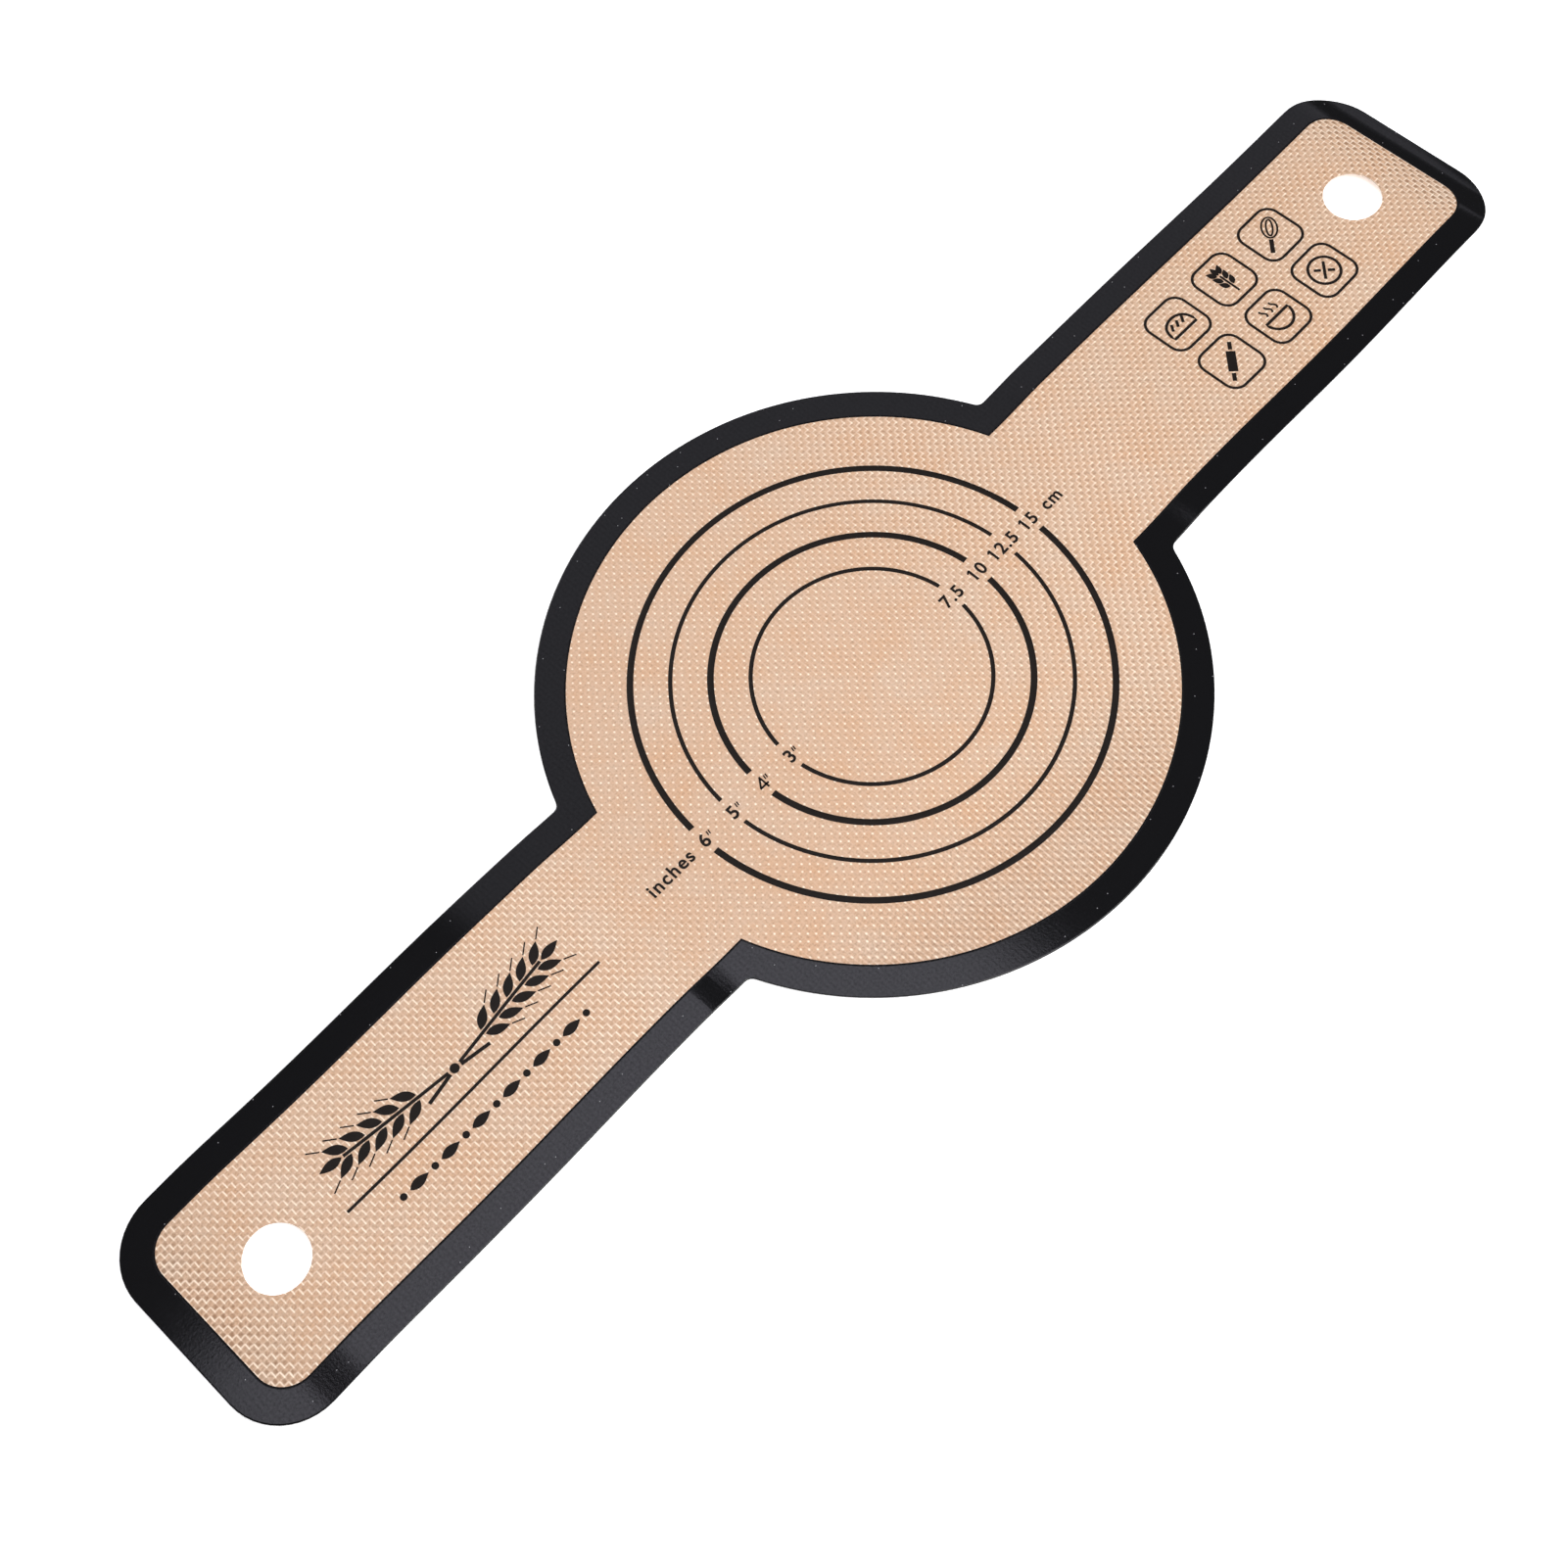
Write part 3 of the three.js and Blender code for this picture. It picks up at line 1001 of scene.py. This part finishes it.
# Print on the left handle: two ears of wheat bound together, a rule under them, and a row of grains
# and dots. All of it is the same black ink, laid on as flat strokes.
RULE_START = (-222.6, -4.9)
RULE_END = (-123.5, -4.9)
RULE_LINE = 0.9
KNOT = Vector((-174.0, 3.2))
KNOT_RADIUS = 1.5
EAR_FOOT = (2.2, 0.3)
EAR_LEAN = math.radians(7)
EAR_LENGTH = 45.0
EAR_STEM = 1.0
EAR_PAIRS = 5
EAR_GRAIN = (7.6, 3.0)
EAR_BEARD = 4.0
BEARD_LINE = 0.4
BEARD_GAP = 0.5
GRAINS_START = 0.24
GRAINS_SHARE = 0.66
GRAIN_OFF_STEM = 0.45
GRAIN_LEAN = math.radians(32)
GRAIN_FULLNESS = 0.85
GRAIN_STEPS = 10
STEM_GAP = 0.5
STRAW_ROOT = (2.1, -0.5)
STRAW_END = (12.0, -2.2)
STRAW_LINE = 1.1
DOT_STEPS = 12
BAND_DOTS = 7
BAND_STEP = 12.0
BAND_DOT = (-209.0, -13.2)
BAND_DOT_RADIUS = 1.1
BAND_GRAIN = (-206.5, -13.2)
BAND_GRAIN_SIZE = (7.0, 3.0)


def arc_points(centre, radius, first_angle, last_angle, steps):
    angles = [first_angle + (last_angle - first_angle) * step / steps for step in range(steps + 1)]
    return [tuple(Vector(centre) + radius * toward(angle)) for angle in angles]


def dot(centre, radius):
    turns = [math.pi * step / DOT_STEPS for step in range(DOT_STEPS + 1)]
    points = [(centre[0] - radius * math.cos(turn), centre[1]) for turn in turns]
    return ink_stroke(points, [radius * math.sin(turn) for turn in turns])


# One grain: a pointed stroke, fullest a little before its middle. Its size is its length and width.
def grain(root, heading, size):
    length, width = size
    shares = [step / GRAIN_STEPS for step in range(GRAIN_STEPS + 1)]
    points = [tuple(Vector(root) + toward(heading) * length * share) for share in shares]
    fullness = [math.sin(math.pi * share ** GRAIN_FULLNESS) for share in shares]
    return ink_stroke(points, [width / 2 * full for full in fullness])


def wheat_ear(foot, heading, length, stem, pairs, size, beard):
    along = toward(heading)
    aside = Vector((-along.y, along.x))
    grain_length = size[0]
    top = Vector(foot) + along * (length - grain_length)
    strokes = [straight(foot, top - along * STEM_GAP, stem), grain(top, heading, size)]
    for pair in range(pairs):
        at = Vector(foot) + along * (GRAINS_START + GRAINS_SHARE * pair / pairs) * length
        for hand in (1, -1):
            root = at + aside * hand * (stem / 2 + GRAIN_OFF_STEM)
            lean = heading + hand * GRAIN_LEAN
            strokes.append(grain(root, lean, size))
            if beard > 0:
                tip = root + toward(lean) * (grain_length + BEARD_GAP)
                strokes.append(straight(tip, tip + toward(lean) * beard, BEARD_LINE))
    return strokes


def finish_print(name, strokes, body):
    printed = join_pieces(name, strokes)
    keep_flat_place(printed)
    lay_down(printed)
    printed.data.materials.append(black_ink)
    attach(printed, body)


left_print = [straight(RULE_START, RULE_END, RULE_LINE), dot(KNOT, KNOT_RADIUS)]
for hand, heading in ((-1, math.pi - EAR_LEAN), (1, EAR_LEAN)):
    mirror = Vector((hand, 1.0))
    foot = KNOT + mirror * Vector(EAR_FOOT)
    left_print += wheat_ear(
        foot, heading, EAR_LENGTH, EAR_STEM, EAR_PAIRS, EAR_GRAIN, EAR_BEARD)
    straw_root = KNOT + mirror * Vector(STRAW_ROOT)
    straw_end = KNOT + mirror * Vector(STRAW_END)
    left_print.append(straight(straw_root, straw_end, STRAW_LINE))
for number in range(BAND_DOTS):
    left_print.append(dot((BAND_DOT[0] + BAND_STEP * number, BAND_DOT[1]), BAND_DOT_RADIUS))
for number in range(BAND_DOTS - 1):
    root = (BAND_GRAIN[0] + BAND_STEP * number, BAND_GRAIN[1])
    left_print.append(grain(root, 0.0, BAND_GRAIN_SIZE))
finish_print("left_handle_print", left_print, "left_handle")


# Print on the right handle: six small tiles in two rows, each with a plain baking mark: a loaf, an
# ear of wheat, a whisk, a rolling pin, a bowl and a round bun. Each mark is drawn about its centre.
TILE_HALF = 9.0
TILE_CORNER = 4.6
TILE_LINE = 0.96
MARK_LINE = 1.0
WIRE_LINE = 0.64
STEAM_LINE = 0.7
MARK_COLUMNS = (-2.6, 0.0, 2.6)


def moved(points, centre):
    return [(centre[0] + x, centre[1] + y) for x, y in points]


def outline_mark(points, centre, line):
    return ink_stroke(moved(points, centre), [line / 2] * len(points), closed=True)


def line_mark(start, end, centre, line):
    return straight(*moved([start, end], centre), line)


def tile(centre):
    inset = TILE_HALF - TILE_CORNER
    corners = ((inset, inset), (-inset, inset), (-inset, -inset), (inset, -inset))
    points = []
    for number, corner in enumerate(corners):
        first = number * math.pi / 2
        points += arc_points(corner, TILE_CORNER, first, first + math.pi / 2, 8)
    return [outline_mark(points, centre, TILE_LINE)]


def loaf(centre):
    angles = [math.pi * step / 24 for step in range(25)]
    crust = [(5.6 * math.cos(angle), 6.4 * math.sin(angle) ** 0.7 - 3.4) for angle in angles]
    strokes = [outline_mark(crust, centre, MARK_LINE)]
    for x in MARK_COLUMNS:
        strokes.append(line_mark((x - 0.8, -0.9), (x + 0.8, 1.3), centre, MARK_LINE))
    return strokes


def small_ear(centre):
    foot = (centre[0], centre[1] - 6.4)
    return wheat_ear(foot, math.pi / 2, length=12.8, stem=0.8, pairs=3, size=(4.0, 2.1), beard=0.0)


def slanting_ellipse(middle, half_length, half_width):
    points = []
    for number in range(32):
        angle = 2 * math.pi * number / 32
        along = half_length * math.cos(angle) * math.sqrt(0.5)
        across = half_width * math.sin(angle) * math.sqrt(0.5)
        points.append((middle + along - across, middle + along + across))
    return points


def whisk(centre):
    strokes = [line_mark((-5.4, -5.4), (-1.4, -1.4), centre, 1.5)]
    for half_length, half_width in ((4.3, 2.7), (3.4, 1.1)):
        wire = slanting_ellipse(2.1, half_length, half_width)
        strokes.append(outline_mark(wire, centre, WIRE_LINE))
    return strokes


def rolling_pin(centre):
    strokes = [line_mark((-2.9, -2.9), (2.9, 2.9), centre, 3.2)]
    for way in (1, -1):
        strokes.append(line_mark((way * 3.4, way * 3.4), (way * 5.6, way * 5.6), centre, 1.4))
    return strokes


def bowl(centre):
    side = arc_points((0.0, 0.6), 5.6, math.pi, 2 * math.pi, 20)
    strokes = [outline_mark(side, centre, MARK_LINE)]
    for x in MARK_COLUMNS:
        steam = [(x + 0.6 * math.sin(math.pi * step / 4), 2.4 + 0.5 * step) for step in range(8)]
        strokes.append(ink_stroke(moved(steam, centre), [STEAM_LINE / 2] * len(steam)))
    return strokes


def bun(centre):
    crust = arc_points((0.0, 0.0), 5.5, 0.0, 2 * math.pi, 36)[:-1]
    strokes = [outline_mark(crust, centre, MARK_LINE)]
    strokes.append(line_mark((-2.5, -2.5), (2.5, 2.5), centre, MARK_LINE))
    for way in (1, -1):
        strokes.append(line_mark((way * 0.8, way * -0.8), (way * 2.5, way * -2.5), centre, MARK_LINE))
    return strokes


MARKS = (
    (loaf, (164.0, 11.3)), (small_ear, (189.0, 11.3)), (whisk, (214.0, 11.3)),
    (rolling_pin, (164.0, -11.3)), (bowl, (189.0, -11.3)), (bun, (214.0, -11.3)),
)
right_print = []
for mark, centre in MARKS:
    right_print += tile(centre) + mark(centre)
finish_print("right_handle_print", right_print, "right_handle")
